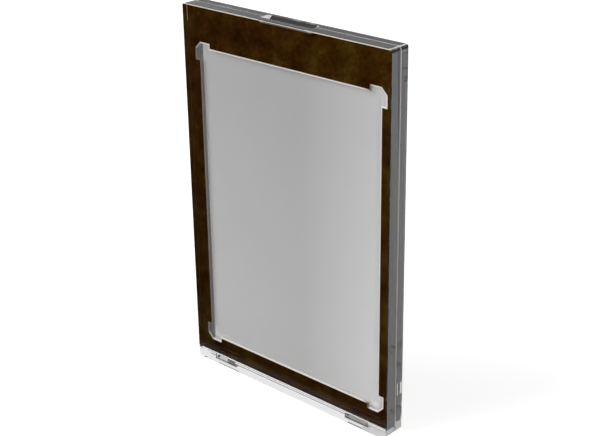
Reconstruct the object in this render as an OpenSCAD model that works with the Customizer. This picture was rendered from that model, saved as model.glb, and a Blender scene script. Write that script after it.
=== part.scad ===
// Magnetic display case for one trading card: a clear back cover with a bottom rail,
// a clear front cover whose two tabs drop into the rail, a printed border sheet
// behind the front cover, a grey backing sheet in the card recess, and two disc magnets.
// The case stands on its rail: X is its width, Y its thickness with the front at -Y, Z is up.

/* [Card] */
// Width of the card that the case holds
card_w = 63.5; // [56:0.5:72]
// Height of the card that the case holds
card_h = 88.9; // [80:0.1:100]
// Gap between the card and each side of its recess
card_side_gap = 0.5; // [0.3:0.05:1]
// Gap between the card and each end of its recess
card_end_gap = 0.35; // [0.2:0.05:1]
// Room for the card's thickness, from the front cover to the backing sheet
card_room = 1.2; // [0.9:0.1:1.6]

/* [Covers] */
// Thickness of the front cover
front_t = 3.6; // [3:0.1:5]
// Width of each cover beside the card recess
side_border = 4.25; // [3.5:0.05:8]
// Height of each cover over the card recess
top_border = 12; // [11:0.5:20]
// Height of the front cover under the card recess
bottom_border = 4.4; // [3.6:0.1:8]
// Radius of the two top corners of the case, seen from the front
top_corner_r = 1.2; // [0.8:0.1:3]
// Radius of the two bottom corners of the rail, seen from the front
foot_corner_r = 2.4; // [1:0.1:2.8]
// Rounding of the long outer edges
edge_r = 0.35; // [0.1:0.05:0.5]
// Rounding of the edges along the seam between the covers
seam_r = 0.12; // [0.05:0.01:0.2]

/* [Rail and tabs] */
// Height of the rail that the front cover stands on
rail_h = 3.2; // [2.8:0.1:5]
// Gap between the rail and the front cover
rail_gap = 0.1; // [0.05:0.01:0.3]
// Plastic under each tab slot
slot_floor = 0.9; // [0.6:0.1:1.2]
// Rounding of the front cover's bottom front edge, which the cover turns on
hinge_r = 0.6; // [0.3:0.05:0.8]
// Angle through which the front cover turns before it lifts off
open_angle = 35; // [15:1:38]
// Width of a tab
tab_w = 8; // [5:0.5:12]
// Thickness of a tab
tab_t = 1.2; // [0.8:0.1:1.3]
// Distance from the middle of the case to the middle of a tab
tab_x = 25.5; // [12:0.5:27]
// Setback of a tab from the inner face of the front cover
tab_setback = 1.2; // [0.8:0.1:1.3]
// Length of tab that is sunk into the front cover, to root it
tab_root = 0.8; // [0.3:0.1:2]
// Gap round a tab in its slot
tab_gap = 0.15; // [0.1:0.05:0.2]

/* [Thumb notch] */
// Width of the notch in the top edge that a fingernail goes into
thumb_w = 18; // [12:1:26]
// Reach of the notch into each cover, from the seam
thumb_reach = 1.4; // [0.8:0.1:1.8]
// Depth of the notch at the seam
thumb_depth = 1.2; // [0.6:0.1:1.6]
// Slope of the notch's two ends, as its run along the width
thumb_slope = 1.2; // [0.5:0.1:3]

/* [Border sheet] */
// Thickness of the printed border sheet
border_t = 0.25; // [0.15:0.05:0.4]
// Gap between the border sheet and the back cover
border_gap = 0.05; // [0.03:0.01:0.15]
// Distance that the border sheet stays inside the edges of the covers
border_inset = 0.15; // [0.1:0.05:0.4]
// Length of a corner notch along each side of the card window
notch_len = 4.05; // [3:0.05:6]
// Reach of a corner notch sideways past the window
notch_side = 1.65; // [1:0.05:2.5]
// Reach of a corner notch past the top or bottom of the window
notch_end = 1.4; // [1:0.05:2.5]
// Size of the sloped outer corner of a notch
notch_slope = 1.9; // [1:0.1:2.4]

/* [Backing sheet] */
// Thickness of the grey backing sheet
backing_t = 0.3; // [0.2:0.05:0.5]
// Gap between the backing sheet and the walls of the card recess
backing_gap = 0.15; // [0.1:0.05:0.3]

/* [Magnets] */
// Diameter of both disc magnets
magnet_d = 8; // [6:0.5:9]
// Thickness of each disc magnet
magnet_t = 1; // [0.6:0.1:1.4]
// Bevel round the faces of each disc magnet
magnet_bevel = 0.12; // [0.05:0.01:0.2]
// Thickness of the adhesive under each magnet
adhesive_t = 0.1; // [0.05:0.05:0.2]
// Distance that the adhesive stays inside the rim of its magnet
adhesive_inset = 0.4; // [0.2:0.1:1]
// Gap between the two magnets when the case is shut
magnet_air = 0.25; // [0.15:0.05:0.5]
// Gap between a magnet's rim and the wall of the pocket
pocket_gap = 0.2; // [0.15:0.05:0.4]
// Plastic behind the magnet pocket
pocket_wall = 0.5; // [0.4:0.1:1]

/* [Gate mark] */
// Height of the mark that moulding leaves on the right side of the back cover
gate_h = 3.4; // [2:0.1:5]
// Width of the gate mark
gate_w = 1.5; // [1:0.1:1.6]
// Height of the middle of the gate mark above the bottom of the front cover
gate_rise = 10.8; // [6:0.1:40]
// Depth of the gate mark
gate_depth = 0.15; // [0.05:0.05:0.3]

/* [Hidden] */
$fn = 96;
over = 1;                                   // how far a cut runs past the surface that it opens
window_w = card_w + 2 * card_side_gap;
window_h = card_h + 2 * card_end_gap;
case_w = window_w + 2 * side_border;
cover_z = rail_h + rail_gap;                // bottom of the front cover
window_z = cover_z + bottom_border;         // bottom of the card recess and of the border's window
window_top = window_z + window_h;
case_h = window_top + top_border;

seam = border_t + border_gap;               // space between the covers
magnet_stack = border_t + 2 * adhesive_t + 2 * magnet_t + magnet_air;
back_t = magnet_stack - seam + pocket_wall; // thickness of the back cover
case_t = front_t + seam + back_t;

front_y = -case_t / 2;                      // outer face of the front cover
inner_y = front_y + front_t;                // inner face of the front cover
land_y = inner_y + seam;                    // front of the back cover, round the recess
back_y = case_t / 2;                        // outer face of the back cover
backing_y = inner_y + card_room;            // front of the backing sheet
recess_y = backing_y + backing_t;           // floor of the card recess
pocket_y = back_y - pocket_wall;            // floor of the magnet pocket
magnet_z = window_top + top_border / 2;     // both magnets sit in the middle of the top border

hinge_y = front_y + hinge_r;                // the line that the front cover turns on
hinge_z = cover_z + hinge_r;
tab_back = inner_y - tab_setback;
tab_front = tab_back - tab_t;
tab_tip = slot_floor + tab_gap;
tip_reach = norm([tab_back - hinge_y, hinge_z - tab_tip]);
tip_angle = atan2(hinge_z - tab_tip, tab_back - hinge_y);
swing_left = max(0, tip_angle - open_angle); // how far the tip stays below the hinge line
slot_front = tab_front - tab_gap;
slot_back = hinge_y + tip_reach * cos(swing_left) + tab_gap;

// A flat shape drawn in X and Z, with its front at depth y0 and its back at y1
module slab(y0, y1) {
    translate([0, y1, 0])
        rotate([90, 0, 0])
            linear_extrude(y1 - y0)
                children();
}

// A flat shape drawn in Y and Z, carried along X from x0 to x1
module bar(x0, x1) {
    translate([x0, 0, 0])
        rotate([90, 0, 90])
            linear_extrude(x1 - x0)
                children();
}

// A round disc that faces -Y, with its centre at height z and its front at depth y0
module disc(d, y0, y1, z) {
    translate([0, y1, z])
        rotate([90, 0, 0])
            cylinder(d = d, h = y1 - y0);
}

// What a rounding of radius r takes off the corner at p, where inward points into the shape
module corner_waste(p, inward, r) {
    difference() {
        translate(p + inward * (r - over) / 2)
            square(r + over, center = true);
        translate(p + inward * r)
            circle(r);
    }
}

// A rectangle from its lowest corner a to b, with corner radii r, anticlockwise from a
module round_rect(a, b, r) {
    corners = [a, [b.x, a.y], b, [a.x, b.y]];
    inwards = [[1, 1], [-1, 1], [-1, -1], [1, -1]];
    difference() {
        translate(a)
            square(b - a);
        for (i = [0:3])
            if (r[i] > 0)
                corner_waste(corners[i], inwards[i], r[i]);
    }
}

// A block as wide as the case: face_r, side_r and plan_r are the corner radii of its
// outline seen from the front, from the right side and from above
module cover_block(y0, y1, z0, z1, face_r, side_r, plan_r) {
    intersection() {
        slab(y0 - over, y1 + over)
            round_rect([-case_w / 2, z0], [case_w / 2, z1], face_r);
        bar(-case_w / 2 - over, case_w / 2 + over)
            round_rect([y0, z0], [y1, z1], side_r);
        linear_extrude(z1 + over)
            round_rect([-case_w / 2, y0], [case_w / 2, y1], plan_r);
    }
}

// The nail notch across the seam: a groove that is deepest at the seam, with sloped ends
module thumb_notch() {
    mid_y = (inner_y + land_y) / 2;
    reach = thumb_reach + seam / 2;
    intersection() {
        bar(-thumb_w / 2 - over, thumb_w / 2 + over)
            polygon([[mid_y - reach, case_h], [inner_y, case_h - thumb_depth],
                [land_y, case_h - thumb_depth], [mid_y + reach, case_h],
                [mid_y + reach, case_h + over], [mid_y - reach, case_h + over]]);
        slab(front_y, back_y)
            polygon([[-thumb_w / 2, case_h], [thumb_slope - thumb_w / 2, case_h - thumb_depth],
                [thumb_w / 2 - thumb_slope, case_h - thumb_depth], [thumb_w / 2, case_h],
                [thumb_w / 2, case_h + over], [-thumb_w / 2, case_h + over]]);
    }
}

// The slot in the rail for the tab that is centred on x
module tab_slot(x) {
    translate([x - tab_w / 2 - tab_gap, slot_front, slot_floor])
        cube([tab_w + 2 * tab_gap, slot_back - slot_front, cover_z - slot_floor]);
}

module gate_mark() {
    translate([case_w / 2 - gate_depth, (land_y + back_y - gate_w) / 2, cover_z + gate_rise - gate_h / 2])
        cube([gate_depth + over, gate_w, gate_h]);
}

// The outline of the card recess, drawn smaller by gap all round: the card's rectangle, with a
// relief above or below each of its corners
module recess_outline(gap) {
    half_w = window_w / 2 - gap;
    half_h = window_h / 2 - gap;
    reach = notch_len - 2 * gap;
    corner = [
        [half_w, half_h + notch_end],
        [half_w - reach, half_h + notch_end],
        [half_w - reach, half_h]];
    last = len(corner) - 1;
    translate([0, (window_z + window_top) / 2])
        polygon([
            for (p = corner) p,
            for (i = [last:-1:0]) [-corner[i].x, corner[i].y],
            for (p = corner) -p,
            for (i = [last:-1:0]) [corner[i].x, -corner[i].y]]);
}

// The clear back cover, in one piece with the rail that the whole case stands on
module back_cover() {
    color([0.84, 0.87, 0.87, 0.4])
        difference() {
            union() {
                cover_block(land_y, back_y, 0, case_h,
                    [foot_corner_r, foot_corner_r, top_corner_r, top_corner_r],
                    [0, edge_r, edge_r, seam_r], [seam_r, seam_r, edge_r, edge_r]);
                cover_block(front_y, back_y, 0, rail_h,
                    [foot_corner_r, foot_corner_r, 0, 0],
                    [edge_r, edge_r, 0, seam_r], [edge_r, edge_r, edge_r, edge_r]);
            }
            slab(land_y - over, recess_y)
                recess_outline(0);
            disc(magnet_d + 2 * pocket_gap, land_y - over, pocket_y, magnet_z);
            tab_slot(-tab_x);
            tab_slot(tab_x);
            thumb_notch();
            gate_mark();
        }
}

// One of the front cover's two tabs, which stands in the rail and is rooted in the cover
module tab(x) {
    translate([x - tab_w / 2, tab_front, tab_tip])
        cube([tab_w, tab_t, cover_z + tab_root - tab_tip]);
}

// The clear front cover with its two tabs
module front_cover() {
    color([0.84, 0.87, 0.87, 0.4]) {
        difference() {
            cover_block(front_y, inner_y, cover_z, case_h,
                [0, 0, top_corner_r, top_corner_r],
                [hinge_r, seam_r, seam_r, edge_r], [edge_r, edge_r, seam_r, seam_r]);
            thumb_notch();
        }
        tab(-tab_x);
        tab(tab_x);
    }
}

// The window in the border sheet: the card's rectangle with a notch at each corner
module border_window() {
    translate([-window_w / 2, window_z])
        square([window_w, window_h]);
    mid_z = (window_z + window_top) / 2;
    for (side = [-1, 1], end = [-1, 1])
        polygon([
            for (p = [
                [window_w / 2 - notch_len, window_h / 2 - notch_len],
                [window_w / 2 + notch_side, window_h / 2 - notch_len],
                [window_w / 2 + notch_side, window_h / 2 + notch_end - notch_slope],
                [window_w / 2 + notch_side - notch_slope, window_h / 2 + notch_end],
                [window_w / 2 - notch_len, window_h / 2 + notch_end]])
                [side * p.x, mid_z + end * p.y]]);
}

// The printed brown sheet behind the front cover, cut back under the nail notch
module border_sheet() {
    low = cover_z + border_inset;
    high = case_h - border_inset;
    half = case_w / 2 - border_inset;
    color([0.2, 0.12, 0.02])
        slab(inner_y, inner_y + border_t)
            difference() {
                round_rect([-half, low], [half, high],
                    [0, 0, top_corner_r - border_inset, top_corner_r - border_inset]);
                border_window();
                translate([-thumb_w / 2, case_h - thumb_depth - border_inset])
                    square([thumb_w, thumb_depth + border_inset + over]);
            }
}

// The loose grey sheet on the floor of the card recess, cut to the same outline
module backing_sheet() {
    color([0.7, 0.7, 0.7])
        slab(backing_y, backing_y + backing_t)
            recess_outline(backing_gap);
}

// A disc magnet with bevelled rims, its front at depth y
module magnet(y) {
    flat_r = magnet_d / 2 - magnet_bevel;
    color([0.78, 0.79, 0.8])
        translate([0, y + magnet_t, magnet_z])
            rotate([90, 0, 0])
                rotate_extrude()
                    polygon([[0, 0], [flat_r, 0], [magnet_d / 2, magnet_bevel],
                        [magnet_d / 2, magnet_t - magnet_bevel], [flat_r, magnet_t], [0, magnet_t]]);
}

// The film of adhesive that holds a magnet, its front at depth y
module magnet_adhesive(y) {
    color([0.85, 0.8, 0.6])
        disc(magnet_d - 2 * adhesive_inset, y, y + adhesive_t, magnet_z);
}

back_cover();
front_cover();
border_sheet();
backing_sheet();
magnet(pocket_y - adhesive_t - magnet_t);  // rear_magnet
magnet_adhesive(pocket_y - adhesive_t);  // rear_magnet_adhesive
magnet(inner_y + border_t + adhesive_t);  // front_magnet
magnet_adhesive(inner_y + border_t);  // front_magnet_adhesive
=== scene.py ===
# %% [markdown]
# # A clear magnetic case for one trading card
#
# The real object is two halves of clear cast plastic that stand on a rail. Between them lie a
# printed sheet with a window, and a plain grey sheet behind the window. A magnet in each half
# keeps them shut. The construction comes in as a fixed frame, already at its real size, and this
# notebook dresses it: finishes for the clear halves, and finer sheets and magnets in place of the
# plain ones. Everything is in metres, with X to the right, the front at -Y, and Z up.

# %% Load the frame
import math
import bpy
import numpy as np
from mathutils import Matrix, Vector


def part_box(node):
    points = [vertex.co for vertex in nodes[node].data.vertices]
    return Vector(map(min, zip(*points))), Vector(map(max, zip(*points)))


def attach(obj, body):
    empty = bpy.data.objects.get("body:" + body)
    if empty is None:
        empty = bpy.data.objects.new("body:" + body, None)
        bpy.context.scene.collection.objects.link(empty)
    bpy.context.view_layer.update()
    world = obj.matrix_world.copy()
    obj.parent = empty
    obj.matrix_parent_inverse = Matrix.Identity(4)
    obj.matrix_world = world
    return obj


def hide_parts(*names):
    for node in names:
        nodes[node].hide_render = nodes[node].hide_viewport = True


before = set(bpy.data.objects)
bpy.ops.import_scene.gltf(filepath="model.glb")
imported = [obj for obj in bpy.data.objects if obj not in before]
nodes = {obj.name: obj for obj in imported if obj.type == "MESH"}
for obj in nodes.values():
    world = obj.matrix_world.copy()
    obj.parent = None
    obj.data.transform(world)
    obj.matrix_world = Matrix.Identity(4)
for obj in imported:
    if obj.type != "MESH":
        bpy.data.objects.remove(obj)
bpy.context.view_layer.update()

scene = bpy.context.scene
MM = 0.001

# %% [markdown]
# ## The camera
#
# The photograph shows the case from its front right, a little from above, through a long lens.
# A camera is a point, a direction and a focal length. The direction is given here as an azimuth
# round the case, an elevation above the floor and a small roll, because those can be read and
# changed by a person, and a matrix can't.

# %% Place the camera
AZIMUTH = math.radians(42.887)
ELEVATION = math.radians(23.284)
ROLL = math.radians(-0.970)
TARGET = Vector((1.09, 0, 54.73)) * MM
DISTANCE = 360.3 * MM
LENS = 80.67                       # focal length in mm on a sensor 36 mm wide


def camera_matrix(azimuth, elevation, roll, target, distance):
    """Columns right, up and back: back points from the target to the camera, right lies level,
    and the roll turns right and up about back."""
    back = Vector((math.sin(azimuth) * math.cos(elevation),
                   -math.cos(azimuth) * math.cos(elevation), math.sin(elevation)))
    level = Vector((0, 0, 1)).cross(back).normalized()
    upright = back.cross(level)
    right = level * math.cos(roll) + upright * math.sin(roll)
    up = upright * math.cos(roll) - level * math.sin(roll)
    place = target + back * distance
    rows = [(right[i], up[i], back[i], place[i]) for i in range(3)]
    return Matrix(rows + [(0, 0, 0, 1)])


camera = bpy.data.objects.new("camera", bpy.data.cameras.new("camera"))
camera.data.lens = LENS
camera.data.sensor_width = 36
camera.data.clip_start = 0.01
camera.data.clip_end = 20
camera.matrix_world = camera_matrix(AZIMUTH, ELEVATION, ROLL, TARGET, DISTANCE)
scene.collection.objects.link(camera)
scene.camera = camera
scene.view_settings.view_transform = "Standard"
print("camera at, in mm:", [round(v / MM, 1) for v in camera.matrix_world.translation])

# %% [markdown]
# ## Writing a material in code
#
# Every finish below is a small tree of nodes. Two helpers keep each tree short to read: one adds
# a node and sets its sockets, and links them where the value given is another node's output, and
# the other starts a new material and returns its tree.


# %% Helpers for node trees
def add(tree, kind, settings=None, **sockets):
    """A node of this kind. settings are its own properties. Each named socket takes a constant,
    or the output of another node, and underscores in its name stand for spaces."""
    node = tree.nodes.new(kind)
    for name, value in (settings or {}).items():
        setattr(node, name, value)
    for name, value in sockets.items():
        socket = node.inputs[name.replace("_", " ")]
        if isinstance(value, bpy.types.NodeSocket):
            tree.links.new(value, socket)
        else:
            socket.default_value = value
    return node


def sum_of(tree, operation, a, b):
    """Two values joined by a Math node's operation."""
    node = add(tree, "ShaderNodeMath", {"operation": operation})
    for socket, value in zip(node.inputs, (a, b)):
        if isinstance(value, bpy.types.NodeSocket):
            tree.links.new(value, socket)
        else:
            socket.default_value = value
    return node.outputs[0]


def ramp(tree, value, *stops):
    """A Color Ramp over value. Each stop is its position and its linear colour."""
    node = add(tree, "ShaderNodeValToRGB", Fac=value)
    elements = node.color_ramp.elements
    while len(elements) < len(stops):
        elements.new(0.5)
    for element, (position, colour) in zip(elements, stops):
        element.position = position
        element.color = (*colour, 1)
    return node.outputs["Color"]


def new_material(name):
    """An empty material, and its tree."""
    material = bpy.data.materials.new(name)
    material.use_nodes = True
    material.node_tree.nodes.clear()
    return material, material.node_tree


# %% [markdown]
# ## The table, the air and the lamps
#
# The case stands on a white sweep in a studio tent, and keeps its soft shadow there. A photographer
# of clear plastic works with what the plastic mirrors and lets through. A black card lies in front,
# so that the front face mirrors it and the colours behind stay deep. Only rays that were mirrored
# see it. What the clear sides show to the left is the grey of a second card, which is no object:
# the floor gives that grey itself. The light path says for each ray how it came and how many
# surfaces it has met, and the black card, the floor and the air answer by that. A ray that crossed
# one plate alone sees a nearly white floor, so the plates of the opened case stay clear.

# %% What a ray sees
FLOOR_SIZE = 6.0
FLOOR_GAP = 0.02 * MM              # air between the rail and the floor, so that they never coincide
FLOOR_GLOW = 0.42                  # white seen in the floor besides the light that falls on it
TENT_LIGHT = 0.42                  # what the tent sends on to matt surfaces
MIRROR_SKY = 0.55                  # the tent as the top of the case mirrors it
THROUGH_GREY = 0.28                # what is seen through the plastic over the grey card
THROUGH_PALE = 0.62                # and to the right of that card
THROUGH_CLEAR = 0.88               # what is seen through one plate of plastic alone
THROUGH_NEAR = 0.8                 # the strip near the case, seen through more surfaces
NEAR = 8.0 * MM                    # the strip of floor before and behind the case that stays bright
CARD_ANGLE = math.radians(40.5)    # direction of the grey card's right edge on the floor, from +Y to -X
CARD_EDGE = 14.6 * MM              # distance of that edge from the middle of the case
CARD_BLUR = 2 * MM                 # half the width over which that edge fades
BLACK_EDGE = -3.6 * MM             # the black card ends here, just before the front face
FEW = 3.5                          # fewer bounces: through the rail or one plate, or off the front
MORE_NEAR = 5                      # further bounces allowed for the strip near the case
MORE_BLACK = 3                     # and for a ray that sees the black card
MORE_AIR = 1                       # and for a ray that ends in the air, which counts one more
WHITE = (1.0, 1.0, 1.0, 1.0)


def few_bounces(tree, more=0):
    """1 for rays that have met at most three surfaces and as many more, otherwise 0."""
    path = add(tree, "ShaderNodeLightPath").outputs
    return sum_of(tree, "LESS_THAN", path["Ray Depth"], FEW + more)


def choose(tree, switch, off, on):
    """The value off where switch is 0 and on where it is 1."""
    return add(tree, "ShaderNodeMapRange", Value=switch, To_Min=off, To_Max=on).outputs[0]


def seen_directly(tree):
    """1 for rays from the camera or from a mirror, otherwise 0."""
    path = add(tree, "ShaderNodeLightPath").outputs
    return sum_of(tree, "MAXIMUM", path["Is Camera Ray"], path["Is Glossy Ray"])


def flat_sheet(name, low_corner, high_corner, height):
    """A flat rectangle of one face that looks up at height, kept as part of the stage."""
    (x0, y0), (x1, y1) = low_corner, high_corner
    corners = [(x0, y0, height), (x1, y0, height), (x1, y1, height), (x0, y1, height)]
    mesh = bpy.data.meshes.new(name)
    mesh.from_pydata(corners, [], [(0, 1, 2, 3)])
    sheet = bpy.data.objects.new(name, mesh)
    scene.collection.objects.link(sheet)
    return sheet


# %% The white sweep
half = FLOOR_SIZE / 2
floor = flat_sheet("floor", (-half, -half), (half, half), -FLOOR_GAP)
floor_paint, tree = new_material("white sweep")
matt = add(tree, "ShaderNodeBsdfDiffuse", Color=(0.86, 0.86, 0.86, 1))
glow = add(tree, "ShaderNodeEmission", Color=WHITE,
           Strength=sum_of(tree, "MULTIPLY", seen_directly(tree), FLOOR_GLOW))
open_view = add(tree, "ShaderNodeAddShader")
tree.links.new(matt.outputs[0], open_view.inputs[0])
tree.links.new(glow.outputs[0], open_view.inputs[1])
spot = add(tree, "ShaderNodeNewGeometry").outputs["Position"]
across = add(tree, "ShaderNodeVectorMath", {"operation": "DOT_PRODUCT"})
tree.links.new(spot, across.inputs[0])
across.inputs[1].default_value = (math.cos(CARD_ANGLE), math.sin(CARD_ANGLE), 0)
side = add(tree, "ShaderNodeMapRange", Value=across.outputs["Value"], From_Min=CARD_EDGE - CARD_BLUR,
           From_Max=CARD_EDGE + CARD_BLUR, To_Min=THROUGH_GREY, To_Max=THROUGH_PALE)
depth_y = add(tree, "ShaderNodeSeparateXYZ", Vector=spot).outputs["Y"]
close_by = add(tree, "ShaderNodeMath", {"operation": "COMPARE"})
tree.links.new(depth_y, close_by.inputs[0])
close_by.inputs[1].default_value, close_by.inputs[2].default_value = 0.0, NEAR
few, some = few_bounces(tree), few_bounces(tree, MORE_NEAR)
far_value = choose(tree, few, side.outputs[0], THROUGH_CLEAR)
near_value = sum_of(tree, "MAXIMUM", few, choose(tree, some, side.outputs[0], THROUGH_NEAR))
beyond = add(tree, "ShaderNodeEmission", Color=WHITE,
             Strength=choose(tree, close_by.outputs[0], far_value, near_value))
view = add(tree, "ShaderNodeMixShader", Fac=add(tree, "ShaderNodeLightPath").outputs["Is Transmission Ray"])
tree.links.new(open_view.outputs[0], view.inputs[1])
tree.links.new(beyond.outputs[0], view.inputs[2])
add(tree, "ShaderNodeOutputMaterial", Surface=view.outputs[0])
floor.data.materials.append(floor_paint)

# %% The studio tent and the black card
world = bpy.data.worlds.new("studio tent")
scene.world = world
world.use_nodes = True
tree = world.node_tree
tree.nodes.clear()
path = add(tree, "ShaderNodeLightPath").outputs
lit = choose(tree, path["Is Glossy Ray"], TENT_LIGHT, MIRROR_SKY)
through = choose(tree, few_bounces(tree, MORE_AIR), THROUGH_GREY, 1.0)
indirect = choose(tree, path["Is Transmission Ray"], lit, through)
strength = choose(tree, path["Is Camera Ray"], indirect, 1.0)
air = add(tree, "ShaderNodeBackground", Color=WHITE, Strength=strength)
add(tree, "ShaderNodeOutputWorld", Surface=air.outputs[0])

card = flat_sheet("black_card", (-half, -half), (half, BLACK_EDGE), -0.5 * FLOOR_GAP)
card_paint, tree = new_material("black card")
matt = add(tree, "ShaderNodeBsdfDiffuse", Color=(0.004, 0.004, 0.004, 1))
gone = add(tree, "ShaderNodeBsdfTransparent", Color=WHITE)
glossy_depth = add(tree, "ShaderNodeLightPath").outputs["Glossy Depth"]
mirrored = sum_of(tree, "GREATER_THAN", glossy_depth, 0.5)
seen = add(tree, "ShaderNodeMixShader",
           Fac=sum_of(tree, "MULTIPLY", few_bounces(tree, MORE_BLACK), mirrored))
tree.links.new(gone.outputs[0], seen.inputs[1])
tree.links.new(matt.outputs[0], seen.inputs[2])
add(tree, "ShaderNodeOutputMaterial", Surface=seen.outputs[0])
card.data.materials.append(card_paint)
card.visible_camera = False
card.visible_diffuse = False
card.visible_volume_scatter = False
card.visible_shadow = False


# %% Soft lamps
def soft_lamp(name, place, aim, size, power):
    """A square area lamp at place, turned to look at aim. No ray that comes through the plastic
    sees it, because a lamp at the end of a light pipe is a harsh white spot."""
    lamp = bpy.data.lights.new(name, "AREA")
    lamp.size = size
    lamp.energy = power
    holder = bpy.data.objects.new(name, lamp)
    holder.location = place
    holder.rotation_euler = (Vector(aim) - Vector(place)).to_track_quat("-Z", "Y").to_euler()
    holder.visible_camera = False
    holder.visible_transmission = False
    scene.collection.objects.link(holder)


soft_lamp("key", (-0.9, -1.1, 1.3), (0, 0, 0.05), 1.2, 19.0)
soft_lamp("fill", (1.3, -0.9, 0.6), (0, 0, 0.05), 1.0, 10.0)
soft_lamp("rim", (0.3, 1.4, 1.1), (0, 0, 0.05), 1.0, 5.0)

# Light goes down the clear sides as in a light pipe, by a dozen reflections and more
scene.cycles.max_bounces = 32
scene.cycles.glossy_bounces = 28
scene.cycles.transmission_bounces = 28
scene.cycles.transparent_max_bounces = 24

# %% [markdown]
# ## Clear plastic
#
# Both halves are polished acrylic. Its index of refraction is 1.49, so a look into an edge is
# trapped inside and travels the whole width of the case, and the little that the plastic absorbs
# adds up to grey there. A look through the flat faces crosses a few millimetres and stays clear.
# The absorption is real here, set per metre in a volume, rather than painted on the edges.
# Lamps and matt surfaces look straight through the plastic, which keeps the light inside clean.

# %% The acrylic
ACRYLIC_IOR = 1.49
ABSORPTION_PER_METRE = 15.0


# Painted light on the plastic: matt patches whose colours stand in for highlights, shade and reflections of
# the print. Each gives how matt, its colour, then for each of the point's coordinates in mm, or of its
# normal, the middle and the half width of the range. They imitate what the photograph shows at edges and
# notches, and some of them may be reflections there.
# Colours of the painted light: cream and pale for highlights, black and greys for shade, dark brown for
# painted reflections of the print and painted shade
HIGHLIGHT_CREAM = (0.86, 0.84, 0.78)
SHADE_DARK_GREY = (0.10, 0.085, 0.075)
SHADE_BLACK = (0.03, 0.03, 0.03)
PAINTED_DARK_BROWN = (0.03, 0.015, 0.003)
SHADE_GREY = (0.135, 0.13, 0.125)
PAINTED_LIGHT_PALE = (0.74, 0.68, 0.67)
PAINTED_LIGHT_SPOTS = (
    (0.70, (0.80, 0.80, 0.80), {"z": (0, 0.08), "x": (31.9, 4.8)}),               # underside, right end: painted light
    (0.75, (0.78, 0.73, 0.62), {"z": (109.15, 0.2), "y": (-3.25, 0.2), "nz": (0.55, 0.30)}),  # front top edge: painted highlight
    (0.90, PAINTED_DARK_BROWN, {"x": (-36.45, 0.1), "y": (0.08, 0.2), "z": (54, 50)}),          # left seam: painted reflection of the brown print
    (0.96, SHADE_BLACK, {"x": (0.3, 8.0), "z": (108.7, 0.65), "nz": (0.76, 0.1)}),       # back of the notch: painted shadow
    (0.96, PAINTED_DARK_BROWN, {"x": (0, 9), "z": (108.7, 0.65), "nz": (-0.76, 0.1)}),          # its front, from inside: painted reflection of the brown print
    (0.90, SHADE_BLACK, {"x": (36.4, 0.15), "y": (3.2, 0.2), "z": (56, 52), "nx": (0.85, 0.13)}),  # rear right edge: painted shade
    (0.85, HIGHLIGHT_CREAM, {"x": (-8.4, 0.9), "z": (108.7, 0.8), "nx": (0.7, 0.3)}),       # end of the notch: painted highlight
    (0.70, HIGHLIGHT_CREAM, {"x": (36.0, 0.6), "z": (109.1, 0.3), "nz": (0.90, 0.07)}),     # top right edge: painted highlight
    (0.75, SHADE_BLACK, {"x": (36.2, 0.4), "z": (108.7, 0.6), "nz": (0.43, 0.28)}),      # and just below it: painted shade
    (0.90, PAINTED_DARK_BROWN, {"x": (36.35, 0.1), "y": (-3.33, 0.09), "z": (96, 3.4)}),        # right edge: painted reflection of the brown print
    (0.90, PAINTED_DARK_BROWN, {"x": (36.35, 0.1), "y": (-3.33, 0.09), "z": (9, 3.4)}),
    (0.70, SHADE_GREY, {"x": (-32.25, 0.2), "y": (1.1, 0.58), "nx": (1, 0.05)}),         # left wall of the recess: painted shade
    (0.85, SHADE_GREY, {"x": (-33.1, 0.9), "y": (0.5, 0.03), "z": (96, 2.8), "ny": (-1, 0.05)}),  # by the notches: painted shade
    (0.85, SHADE_GREY, {"x": (-33.1, 0.9), "y": (0.5, 0.03), "z": (9, 2.8), "ny": (-1, 0.05)}),
    # by the notches on the right: painted light
    (0.80, PAINTED_LIGHT_PALE, {"x": (33.1, 0.9), "y": (0.5, 0.03), "z": (96, 2.8), "ny": (-1, 0.05)}),
    (0.80, PAINTED_LIGHT_PALE, {"x": (33.1, 0.9), "y": (0.5, 0.03), "z": (9, 2.8), "ny": (-1, 0.05)}),
    (0.80, PAINTED_LIGHT_PALE, {"x": (28.2, 0.05), "y": (1.1, 0.58), "nx": (1, 0.05)}),         # ends of the reliefs: painted light
    (0.85, HIGHLIGHT_CREAM, {"x": (0, 33), "y": (1.1, 0.58), "z": (7, 0.75), "nz": (1, 0.05)}),  # bottom of the recess: painted highlight
    (0.80, HIGHLIGHT_CREAM, {"x": (36.4, 0.2), "z": (14.1, 1.8), "y": (1.2, 0.22)}),        # gate mark: painted glints at its two edges
    (0.80, HIGHLIGHT_CREAM, {"x": (36.4, 0.2), "z": (14.1, 1.8), "y": (2.7, 0.22)}),
    (0.75, SHADE_DARK_GREY, {"x": (-23.4, 2.0), "z": (1.5, 0.8), "y": (-1.0, 0.05)}),       # back of the left tab: painted shade
    (0.50, SHADE_DARK_GREY, {"x": (25.5, 4.1), "z": (1.5, 0.8), "y": (-1.0, 0.05)}),        # back of the right tab: painted shade
    (0.95, PAINTED_DARK_BROWN, {"x": (-25.5, 4.1), "z": (2.8, 0.5), "y": (-1.0, 0.05)}),        # roots of the tabs: painted shade
    (0.95, PAINTED_DARK_BROWN, {"x": (25.5, 4.1), "z": (2.8, 0.5), "y": (-1.0, 0.05)}),
)


def within(tree, value, middle, reach):
    """1 where value lies within reach of middle, otherwise 0."""
    node = add(tree, "ShaderNodeMath", {"operation": "COMPARE"})
    tree.links.new(value, node.inputs[0])
    node.inputs[1].default_value, node.inputs[2].default_value = middle, reach
    return node.outputs[0]


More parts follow.
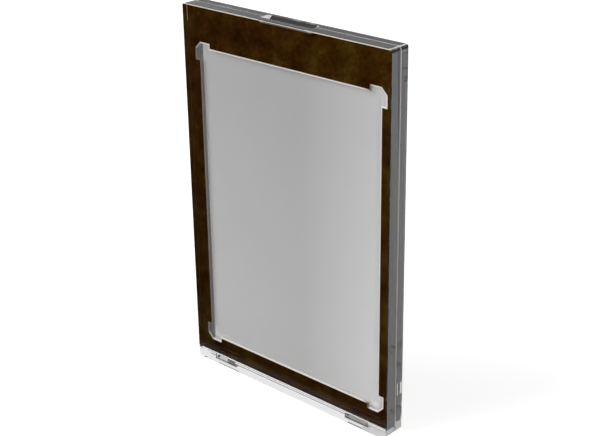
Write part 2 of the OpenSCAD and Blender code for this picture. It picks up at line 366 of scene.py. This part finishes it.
def painted_light_spots(tree):
    """How much painted light and shade covers the point, and in which colour: the strongest of the painted
    spots, each its strength times all of its ranges, and the colour of the last one that holds the point."""
    coordinates = add(tree, "ShaderNodeTexCoord").outputs
    place = add(tree, "ShaderNodeSeparateXYZ", Vector=coordinates["Object"]).outputs
    facing = add(tree, "ShaderNodeSeparateXYZ", Vector=coordinates["Normal"]).outputs
    total, colour = None, None
    for strength, tone, ranges in PAINTED_LIGHT_SPOTS:
        share = None
        for axis, (middle, reach) in ranges.items():
            unit, outputs = (1, facing) if axis[0] == "n" else (MM, place)
            test = within(tree, outputs[axis[-1].upper()], middle * unit, reach * unit)
            share = test if share is None else sum_of(tree, "MULTIPLY", share, test)
        mixed = add(tree, "ShaderNodeMix", {"data_type": "RGBA"}, Factor=share)
        mixed.inputs["A"].default_value = mixed.inputs["B"].default_value = (*tone, 1)
        if colour is not None:
            tree.links.new(colour, mixed.inputs["A"])
        colour = mixed.outputs["Result"]
        share = sum_of(tree, "MULTIPLY", share, strength)
        total = share if total is None else sum_of(tree, "MAXIMUM", total, share)
    return total, colour


def make_acrylic():
    """Clear, hard and glossy, with faint wipe marks in its polish, and matt in patches of painted highlight,
    shade and reflection at its edges and notches.
    """
    material, tree = new_material("clear acrylic")
    place = add(tree, "ShaderNodeTexCoord").outputs["Object"]
    wipe = add(tree, "ShaderNodeMapping", Vector=place, Rotation=(0, 0.6, 0), Scale=(40, 900, 1400))
    marks = add(tree, "ShaderNodeTexNoise", Vector=wipe.outputs[0], Scale=1.0, Detail=3.0)
    worn = add(tree, "ShaderNodeMapRange", Value=marks.outputs["Fac"], From_Min=0.55, From_Max=0.8,
               To_Min=0.0, To_Max=0.012)
    clear = add(tree, "ShaderNodeBsdfPrincipled", Base_Color=WHITE, IOR=ACRYLIC_IOR,
                Transmission_Weight=1.0, Roughness=worn.outputs[0])
    # How strong the painted highlights, shade and reflections are, and their colour
    matt, colour = painted_light_spots(tree)
    painted_patch = add(tree, "ShaderNodeBsdfDiffuse", Color=colour)
    skin = add(tree, "ShaderNodeMixShader", Fac=matt)
    tree.links.new(clear.outputs[0], skin.inputs[1])
    tree.links.new(painted_patch.outputs[0], skin.inputs[2])
    through = add(tree, "ShaderNodeBsdfTransparent", Color=(0.94, 0.94, 0.94, 1))
    path = add(tree, "ShaderNodeLightPath").outputs
    lamplight = sum_of(tree, "MAXIMUM", path["Is Shadow Ray"], path["Is Diffuse Ray"])
    surface = add(tree, "ShaderNodeMixShader", Fac=lamplight)
    tree.links.new(skin.outputs[0], surface.inputs[1])
    tree.links.new(through.outputs[0], surface.inputs[2])
    absorb = add(tree, "ShaderNodeVolumeAbsorption", Color=(0, 0, 0, 1), Density=ABSORPTION_PER_METRE)
    add(tree, "ShaderNodeOutputMaterial", Surface=surface.outputs[0], Volume=absorb.outputs[0])
    return material


acrylic = make_acrylic()
for name in ("back_cover", "front_cover"):
    nodes[name].data.materials.clear()
    nodes[name].data.materials.append(acrylic)
print("acrylic on the two covers, absorbing", ABSORPTION_PER_METRE, "per metre")

# %% [markdown]
# ## The printed border sheet
#
# The brown border is a thin white plastic sheet, printed on its front and die-cut to a window
# with a notch at each corner, where a card's own corners would rest. A knife presses the cut
# edge round, and the white core shows there as a pale line round the window. So the sheet is a
# loft: its section, with a rounded rim, is carried round the window's outline. Each point of the
# window's outline has a partner on the outer outline, and the front face runs between the two.

# %% Outlines of the border sheet, one quarter at a time
SHEET_AIR = 0.015 * MM             # film of air between the sheet and the front cover
RIM_REACH = 0.5 * MM               # how far the pressed rim reaches into the window
sheet_low, sheet_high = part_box("border_sheet")
backing_low, backing_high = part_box("backing_sheet")
NOTCH_LENGTH = 4.05 * MM
NOTCH_SIDE = 1.65 * MM
NOTCH_END = 1.4 * MM
NOTCH_SLOPE = 1.9 * MM
BACKING_GAP = 0.15 * MM            # the backing sheet is this much smaller than the window all round
THUMB_HALF = 9.0 * MM
THUMB_CUT = 1.2 * MM
CORNER = 1.18 * MM
BOTTOM_CORNER = 0.2 * MM
LEAN = 0.4 * MM                    # partners slip by this much, so that no two points coincide
FIRST_SLOPE = 0.4                  # part of a notch's slope that its first point has already run
OUTLINE_STEP = 2.0 * MM            # the outlines have a point at least this often
SPREAD = 0.13 * MM                 # the print runs this much nearer to the edges of the cover

window_half = backing_high.x + BACKING_GAP
window_mid = (backing_high.z + backing_low.z) / 2
window_rise = (backing_high.z - backing_low.z) / 2 + BACKING_GAP - NOTCH_END


def quarter(outer_half, outer_rise, corner, thumb):
    """Pairs of points for the quarter of the sheet at the right, from the level of its middle round
    to the middle of its top or bottom edge: first the window's outline, then the outer one.
    Lengths are from the middle of the window, with rise positive."""
    w, h = window_half, window_rise
    arc = np.linspace(0, math.pi / 2, 7)
    pairs = [
        ((w, 0), (outer_half, 0)),
        ((w, h - NOTCH_LENGTH), (outer_half, h - NOTCH_LENGTH - LEAN)),
        ((w + NOTCH_SIDE, h - NOTCH_LENGTH), (outer_half, h - NOTCH_LENGTH + LEAN)),
        ((w + NOTCH_SIDE, h + NOTCH_END - NOTCH_SLOPE), (outer_half, h + NOTCH_END - NOTCH_SLOPE)),
    ]
    for share, turn in zip(np.linspace(FIRST_SLOPE, 1, len(arc)), arc):
        slope = share * NOTCH_SLOPE
        pairs.append(((w + NOTCH_SIDE - slope, h + NOTCH_END - NOTCH_SLOPE + slope),
                      (outer_half - corner + corner * math.cos(turn),
                       outer_rise - corner + corner * math.sin(turn))))
    pairs += [
        ((w - NOTCH_LENGTH, h + NOTCH_END), (w - NOTCH_LENGTH + LEAN, outer_rise)),
        ((w - NOTCH_LENGTH, h), (w - NOTCH_LENGTH - LEAN, outer_rise)),
    ]
    if thumb:
        pairs += [((THUMB_HALF + LEAN, h), (THUMB_HALF, outer_rise)),
                  ((THUMB_HALF - LEAN, h), (THUMB_HALF, outer_rise - THUMB_CUT))]
    pairs.append(((0, h), (0, outer_rise - (THUMB_CUT if thumb else 0))))
    return np.array(pairs)


def whole_outline(top, bottom):
    """The four quarters joined: up the right side, over the top, and round, counter-clockwise as
    seen from the front. A quarter is mirrored by a change of sign and taken in reverse order."""
    right_left = np.array([-1, 1])
    down = np.array([1, -1])
    upper_left = (top * right_left)[::-1][1:]
    lower_left = (bottom * right_left * down)[1:]
    lower_right = (bottom * down)[::-1][1:-1]
    return np.concatenate([top, upper_left, lower_left, lower_right])


def resample(pairs, step):
    """Points no more than step apart along each side, by equal parts between the given pairs."""
    parts = []
    for a, b in zip(pairs, np.roll(pairs, -1, axis=0)):
        count = max(1, math.ceil(np.abs(b - a).max() / step))
        parts.append(a + (b - a) * (np.arange(count) / count)[:, None, None])
    return np.concatenate(parts)


outer_half = sheet_high.x + SPREAD
top_pairs = quarter(outer_half, sheet_high.z - window_mid + SPREAD, CORNER, True)
bottom_pairs = quarter(outer_half, window_mid - sheet_low.z + SPREAD, BOTTOM_CORNER, False)
pairs = resample(whole_outline(top_pairs, bottom_pairs), OUTLINE_STEP)
window_line, outer_line = pairs[:, 0], pairs[:, 1]
print("outline points:", len(window_line))


# %% The loft
FRONT_ROWS = 9
RIM_ROWS = 5


def outward(line):
    """Unit normals of a closed line that runs counter-clockwise, lengthened at each corner so that
    an offset line keeps its distance: the sum of the two sides' normals over one plus their dot."""
    side = np.roll(line, -1, axis=0) - line
    side /= np.linalg.norm(side, axis=1)[:, None]
    after = np.stack([side[:, 1], -side[:, 0]], axis=1)
    before = np.roll(after, 1, axis=0)
    dot = (after * before).sum(axis=1)
    return (after + before) / (1 + dot)[:, None]


def ring_mesh(name, rows):
    """A closed tube from rows of points, shaped (rows, points, 3): each point is joined to the next
    in its row and to its like in the next row, and both directions close on themselves."""
    count, length = rows.shape[:2]
    i, j = np.meshgrid(np.arange(count), np.arange(length), indexing="ij")
    i2, j2 = (i + 1) % count, (j + 1) % length
    faces = np.stack([i * length + j, i2 * length + j, i2 * length + j2, i * length + j2], axis=-1)
    mesh = bpy.data.meshes.new(name)
    mesh.from_pydata(rows.reshape(-1, 3), [], faces.reshape(-1, 4))
    return mesh


def volume_of(mesh):
    """The volume inside a closed mesh: the sum over its triangles of the box product of the three
    corners, over six. It is positive when the faces look outward."""
    mesh.calc_loop_triangles()
    points = np.empty(len(mesh.vertices) * 3)
    mesh.vertices.foreach_get("co", points)
    corners = np.empty(len(mesh.loop_triangles) * 3, dtype=np.int32)
    mesh.loop_triangles.foreach_get("vertices", corners)
    a, b, c = points.reshape(-1, 3)[corners.reshape(-1, 3)].transpose(1, 0, 2)
    return float((a * np.cross(b, c)).sum() / 6)


def show(name, mesh, body, replaced, smooth_below):
    """Puts a mesh in the scene as a piece that rides on body and stands for a construction node.
    Edges that turn by less than smooth_below degrees are shaded smooth, and end faces are flat."""
    mesh.shade_smooth()
    mesh.set_sharp_from_angle(angle=math.radians(smooth_below))
    mesh.polygons.foreach_set("use_smooth", [face.loop_total == 4 for face in mesh.polygons])
    piece = bpy.data.objects.new(name, mesh)
    scene.collection.objects.link(piece)
    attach(piece, body)
    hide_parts(replaced)
    print(name, "faces:", len(mesh.polygons), "volume in mm3:", round(volume_of(mesh) / MM ** 3, 1))
    return piece


# The burr round the outside: how far each row lies inside the outline, and how far it stands proud
BURR = ((0.06, 0.015), (0.03, 0.031), (0.01, 0.049), (0.0, 0.058))
BURR_START = 0.11 * MM
NOTCH_MARGIN = 0.1 * MM            # the burr also stops this far beside the nail notch


def border_rows():
    """The sheet's section as rows of points, from the window's rim over the front face, over the
    burr to the outer edge and back. On the rim the offset into the window is the reach times the
    sine of a turning angle, and the depth is the thickness times one minus its cosine."""
    front = sheet_low.y + SHEET_AIR
    thick = sheet_high.y - front
    into = -outward(window_line)
    out = outward(outer_line)
    in_notch = (np.abs(outer_line[:, 0]) < THUMB_HALF + NOTCH_MARGIN) & (outer_line[:, 1] > 0)
    proud = np.where(in_notch, 0.0, 1.0)

    def row(line, depth):
        z = line[:, 1] + window_mid
        return np.stack([line[:, 0], np.broadcast_to(front + depth, z.shape), z], axis=1)

    rows = []
    for share in np.linspace(0, 1, FRONT_ROWS):
        rows.append(row(window_line + (outer_line - BURR_START * out - window_line) * share, 0.0))
    for inset, height in BURR:
        rows.append(row(outer_line - inset * MM * out, -height * MM * proud))
    rows.append(row(outer_line, thick))
    for share in np.linspace(0.8, 0, 5):
        across = window_line + RIM_REACH * into + (outer_line - window_line - RIM_REACH * into) * share
        rows.append(row(across, thick))
    for turn in np.linspace(RIM_ROWS, 1, RIM_ROWS) / (RIM_ROWS + 1) * math.pi / 2:
        rows.append(row(window_line + into * RIM_REACH * math.sin(turn), thick * (1 - math.cos(turn))))
    return np.array(rows)


border_mesh = ring_mesh("border_print", border_rows())
border = show("border_print", border_mesh, "front_half", "border_sheet", 30)

# %% [markdown]
# ## Brown print on a white core
#
# The print is a dark, leathery brown: reddish and olive patches under fine grain. Noise textures on the
# sheet's own coordinates give both, at two sizes. Where the knife pressed the rim, the ink stops and the
# white core shows. That needs to know where on the sheet a point lies, so the mesh carries the answer as an
# attribute: 1 where there is ink and 0 on the core. Ink put on the rims that face right is painted shade.
# Along the outside, the core shows where the edge faces right or up, and ink covers it where it faces left or
# down, which is painted light and shade by the side it faces.

# %% The ink attribute
EDGE_ROWS = len(BURR) + 1           # the burr and the row where the back starts
PAINTED_SHADE_RIM_INK = 0.80                       # painted shade: ink on a window rim that faces right
PAINTED_LIGHT_EDGE_INK = 0.71                         # ink on the outer edge where it faces right or up, less than elsewhere as painted light


def ink_and_painted_light_values(mesh):
    """1 on the front face and 0 on the back. A rim of the window has some ink times how far it faces right,
    which is painted shade. The outer edge has 1 where it faces left or down and less to the right or up,
    which is painted light and shade by the side it faces."""
    length = len(window_line)
    faces_right = np.clip(-outward(window_line)[:, 0], 0, 1)
    edge = 1 - (1 - PAINTED_LIGHT_EDGE_INK) * np.clip(outward(outer_line).max(axis=1), 0, 1)
    ink_and_painted_light = np.zeros((len(mesh.vertices) // length, length))
    ink_and_painted_light[:FRONT_ROWS] = 1.0
    ink_and_painted_light[FRONT_ROWS:FRONT_ROWS + EDGE_ROWS] = edge
    ink_and_painted_light[-RIM_ROWS - 1:] = PAINTED_SHADE_RIM_INK * faces_right
    return ink_and_painted_light.ravel()


def add_values(mesh, name, values):
    """Stores one number per vertex under a name that materials can read."""
    mesh.attributes.new(name, "FLOAT", "POINT").data.foreach_set("value", values.astype(np.float32))


add_values(border_mesh, "ink_and_painted_light", ink_and_painted_light_values(border_mesh))


# %% The print
def make_print():
    """Mottled brown where there is ink, and a pale core elsewhere. The brown is painted lighter towards the
    right and darker towards the bottom, as light falls across the sheet.
    """
    material, tree = new_material("brown print")
    place = add(tree, "ShaderNodeTexCoord").outputs["Object"]
    clouds = add(tree, "ShaderNodeTexNoise", Vector=place, Scale=45.0, Detail=1.0)
    patches = add(tree, "ShaderNodeTexNoise", Vector=place, Scale=160.0, Detail=3.0, Roughness=0.6)
    grain = add(tree, "ShaderNodeTexNoise", Vector=place, Scale=900.0, Detail=4.0, Roughness=0.7)
    both = sum_of(tree, "ADD", sum_of(tree, "MULTIPLY", patches.outputs["Fac"], 0.65),
                  sum_of(tree, "MULTIPLY", grain.outputs["Fac"], 0.35))
    olive = ramp(tree, both, (0.34, (0.012, 0.0045, 0.0004)), (0.45, (0.032, 0.0115, 0.0006)),
                 (0.52, (0.040, 0.0175, 0.0014)), (0.60, (0.053, 0.031, 0.005)))
    red = ramp(tree, both, (0.34, (0.014, 0.0045, 0.0006)), (0.48, (0.033, 0.0112, 0.0012)),
               (0.60, (0.050, 0.0185, 0.0030)))
    share = add(tree, "ShaderNodeMapRange", Value=clouds.outputs["Fac"], From_Min=0.42, From_Max=0.60)
    brown = add(tree, "ShaderNodeMix", {"data_type": "RGBA"}, Factor=share.outputs[0])
    tree.links.new(olive, brown.inputs["A"])
    tree.links.new(red, brown.inputs["B"])
    # Painted light: the brown grows lighter towards the right and darker towards the bottom
    parts = add(tree, "ShaderNodeSeparateXYZ", Vector=place).outputs
    across = add(tree, "ShaderNodeMapRange", Value=parts["X"], From_Min=sheet_low.x, From_Max=sheet_high.x,
                 To_Min=0.95, To_Max=1.24)
    upright = add(tree, "ShaderNodeMapRange", Value=parts["Z"], From_Min=sheet_low.z, From_Max=sheet_high.z,
                  To_Min=0.75, To_Max=1.0)
    toned = add(tree, "ShaderNodeVectorMath", {"operation": "SCALE"},
                Scale=sum_of(tree, "MULTIPLY", across.outputs[0], upright.outputs[0]))
    tree.links.new(brown.outputs["Result"], toned.inputs[0])
    # The share of ink, with painted shade on rims that face right and painted light and shade on the outer
    # edge by the side it faces
    ink_and_painted_light = add(tree, "ShaderNodeAttribute", {"attribute_name": "ink_and_painted_light"}).outputs["Fac"]
    colour = add(tree, "ShaderNodeMix", {"data_type": "RGBA"}, Factor=ink_and_painted_light)
    tree.links.new(toned.outputs[0], colour.inputs["B"])
    colour.inputs["A"].default_value = (0.97, 0.93, 0.88, 1)
    paint = add(tree, "ShaderNodeBsdfPrincipled", Base_Color=colour.outputs["Result"], Roughness=0.6,
                Specular_IOR_Level=0.0)
    add(tree, "ShaderNodeOutputMaterial", Surface=paint.outputs[0])
    return material


border_mesh.materials.append(make_print())

# %% [markdown]
# ## The grey backing sheet
#
# Behind the card lies a plain grey sheet, cut to the same outline as the recess that it lies in: a rectangle
# that is as wide as the window, with a relief above or below each corner. It is a flat form with a rounded
# edge, built like the magnets below: rows of a closed outline from the front over the edge to the back, and
# one flat face on the first and the last. A thin film of air stays behind it, so that the plastic there keeps
# its reflection. Its grey is painted a little lighter towards the right and the bottom, as light falls there,
# and painted lighter along its edges, against the shade that the print casts there.


# %% Forms that close on a flat face at each end
def capped_mesh(name, rows):
    """A closed skin over rows of points, shaped (rows, points, 3). The first and the last row are
    each closed by one flat face."""
    count, length = rows.shape[:2]
    i, j = np.meshgrid(np.arange(count - 1), np.arange(length), indexing="ij")
    j2 = (j + 1) % length
    walls = np.stack([i * length + j, (i + 1) * length + j, (i + 1) * length + j2, i * length + j2], axis=-1)
    start = list(range(length))
    end = list(range(count * length - 1, (count - 1) * length - 1, -1))
    mesh = bpy.data.meshes.new(name)
    mesh.from_pydata(rows.reshape(-1, 3), [], walls.reshape(-1, 4).tolist() + [start, end])
    return mesh


def recess_line():
    """The recess's outline, counter-clockwise as seen from the front. The three points of one corner
    are mirrored by changes of sign, and taken in reverse order where one sign changes."""
    w, h = window_half, window_rise
    corner = np.array([(w, h + NOTCH_END), (w - NOTCH_LENGTH, h + NOTCH_END), (w - NOTCH_LENGTH, h)])
    return np.concatenate([corner, (corner * (-1, 1))[::-1], -corner, (corner * (1, -1))[::-1]])


def backing_rows():
    """The grey sheet's rows, on the recess's outline moved inwards by the gap: a quarter circle in
    front, whose inset is one minus the sine of a turning angle and whose depth is one minus its
    cosine, and a plain wall behind."""
    round_edge, film = 0.08 * MM, 0.01 * MM
    normals = outward(recess_line())
    line = recess_line() - BACKING_GAP * normals

    def row(flat, y):
        return np.stack([flat[:, 0], np.full(len(flat), y), flat[:, 1] + window_mid], axis=1)

    rows = [row(line - round_edge * normals * (1 - math.sin(turn)),
                backing_low.y + round_edge * (1 - math.cos(turn)))
            for turn in np.linspace(0, 1, 6) * math.pi / 2]
    rows.append(row(line, backing_high.y - film))
    return np.array(rows)


backing_mesh = capped_mesh("backing_card", backing_rows())
backing = show("backing_card", backing_mesh, "back_half", "backing_sheet", 40)


# %% The grey of the sheet
PAINTED_EDGE_LIGHT = 1.6 * MM               # how far the painted light along the sheet's edges reaches in


def make_grey():
    """Neutral grey with faint paper grain. Its tone is painted light: darkest a little right of the middle,
    lighter towards the right, a little lighter towards the bottom, and lighter along the edges against the
    shade that the print casts there."""
    material, tree = new_material("grey card")
    place = add(tree, "ShaderNodeTexCoord").outputs["Object"]
    parts = add(tree, "ShaderNodeSeparateXYZ", Vector=place).outputs
    across = add(tree, "ShaderNodeMapRange", Value=parts["X"], From_Min=-window_half, From_Max=window_half)
    # Painted light across the sheet: darkest a little right of the middle, lighter towards the right
    shade = ramp(tree, across.outputs[0], (0.0, (0.555,) * 3), (0.56, (0.511,) * 3),
                 (0.80, (0.605,) * 3), (1.0, (0.675,) * 3))
    # Painted light: a little lighter towards the bottom
    upright = add(tree, "ShaderNodeMapRange", Value=parts["Z"], From_Min=0.02, From_Max=0.09,
                  To_Min=1.22, To_Max=1.0)
    # Painted light along the edges, against the shade that the print casts there
    to_side = sum_of(tree, "MINIMUM", sum_of(tree, "SUBTRACT", parts["X"], -window_half),
                     sum_of(tree, "SUBTRACT", window_half, parts["X"]))
    to_end = sum_of(tree, "MINIMUM", sum_of(tree, "SUBTRACT", parts["Z"], window_mid - window_rise),
                    sum_of(tree, "SUBTRACT", window_mid + window_rise, parts["Z"]))
    inset = sum_of(tree, "MINIMUM", to_side, to_end)
    depth = sum_of(tree, "MAXIMUM", inset, sum_of(tree, "MULTIPLY", inset, -1.0))
    edge = add(tree, "ShaderNodeMapRange", {"interpolation_type": "SMOOTHSTEP"}, Value=depth,
               From_Min=0.0, From_Max=PAINTED_EDGE_LIGHT, To_Min=1.18, To_Max=1.0)
    fibre = add(tree, "ShaderNodeTexNoise", Vector=place, Scale=700.0, Detail=2.0)
    grain = add(tree, "ShaderNodeMapRange", Value=fibre.outputs["Fac"], To_Min=0.995, To_Max=1.005)
    level = sum_of(tree, "MULTIPLY", upright.outputs[0], edge.outputs[0])
    level = sum_of(tree, "MULTIPLY", level, grain.outputs[0])
    colour = add(tree, "ShaderNodeVectorMath", {"operation": "SCALE"}, Scale=level)
    tree.links.new(shade, colour.inputs[0])
    paint = add(tree, "ShaderNodeBsdfPrincipled", Base_Color=colour.outputs[0], Roughness=0.7,
                Specular_IOR_Level=0.2)
    add(tree, "ShaderNodeOutputMaterial", Surface=paint.outputs[0])
    return material


backing_mesh.materials.append(make_grey())

# %% [markdown]
# ## Magnets and their adhesive
#
# Each magnet is a nickel-plated disc whose rims are rounded by tumbling before they are plated.
# A lathe shape suits it: a profile carried round an axis. The adhesive is the same with a thin
# square profile. Both are hidden behind the print from the front, and show through the clear back.


# %% Turned discs
INNER_RINGS = (0.1, 0.6)           # rings of the flat faces, as parts of the radius


def turned_rows(low, high, rim, steps):
    """Rows of a disc between two corners of a box, its axis along Y. The profile runs from near
    the axis over the front rim, a quarter circle of radius rim, down the side and back."""
    radius = (high.x - low.x) / 2
    centre_x, centre_z = (high.x + low.x) / 2, (high.z + low.z) / 2
    turns = np.linspace(0, math.pi / 2, 6)
    front = [(radius - rim + rim * math.sin(t), low.y + rim - rim * math.cos(t)) for t in turns]
    back = [(r, high.y + low.y - y) for r, y in front[::-1]]
    profile = [(radius * part, low.y) for part in INNER_RINGS] + front + back
    profile += [(radius * part, high.y) for part in INNER_RINGS[::-1]]
    angle = np.linspace(0, 2 * math.pi, steps, endpoint=False)
    ring = np.stack([np.cos(angle), np.zeros(steps), np.sin(angle)], axis=1)
    middle = np.array([centre_x, 0, centre_z])
    return np.array([middle + r * ring + np.array([0, y, 0]) for r, y in profile])


def make_nickel():
    """Bright nickel with a faint turned grain in its roughness."""
    material, tree = new_material("nickel")
    place = add(tree, "ShaderNodeTexCoord").outputs["Object"]
    cloud = add(tree, "ShaderNodeTexNoise", Vector=place, Scale=900.0, Detail=3.0)
    rough = add(tree, "ShaderNodeMapRange", Value=cloud.outputs["Fac"], From_Min=0.3, From_Max=0.7,
                To_Min=0.16, To_Max=0.30)
    metal = add(tree, "ShaderNodeBsdfPrincipled", Base_Color=(0.72, 0.70, 0.66, 1), Metallic=1.0,
                Roughness=rough.outputs[0])
    add(tree, "ShaderNodeOutputMaterial", Surface=metal.outputs[0])
    return material


def make_adhesive():
    """Cloudy, slightly yellow double-sided film."""
    material, tree = new_material("adhesive film")
    place = add(tree, "ShaderNodeTexCoord").outputs["Object"]
    cloud = add(tree, "ShaderNodeTexNoise", Vector=place, Scale=700.0, Detail=2.0)
    colour = ramp(tree, cloud.outputs["Fac"], (0.35, (0.66, 0.60, 0.42)), (0.65, (0.78, 0.73, 0.56)))
    film = add(tree, "ShaderNodeBsdfPrincipled", Base_Color=colour, Roughness=0.45)
    add(tree, "ShaderNodeOutputMaterial", Surface=film.outputs[0])
    return material


nickel, adhesive = make_nickel(), make_adhesive()
DISC_STEPS = 96
RIM = 0.12 * MM
FILM_RIM = 0.02 * MM
FILM_AIR = 0.01 * MM
thinner = Vector((0, FILM_AIR, 0))
for body, magnet in (("back_half", "rear_magnet"), ("front_half", "front_magnet")):
    low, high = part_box(magnet)
    mesh = capped_mesh(magnet + "_disc", turned_rows(low, high, RIM, DISC_STEPS))
    mesh.materials.append(nickel)
    show(magnet + "_disc", mesh, body, magnet, 30)
    low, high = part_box(magnet + "_adhesive")
    mesh = capped_mesh(magnet + "_film",
                       turned_rows(low + thinner, high - thinner, FILM_RIM, DISC_STEPS))
    mesh.materials.append(adhesive)
    show(magnet + "_film", mesh, body, magnet + "_adhesive", 30)
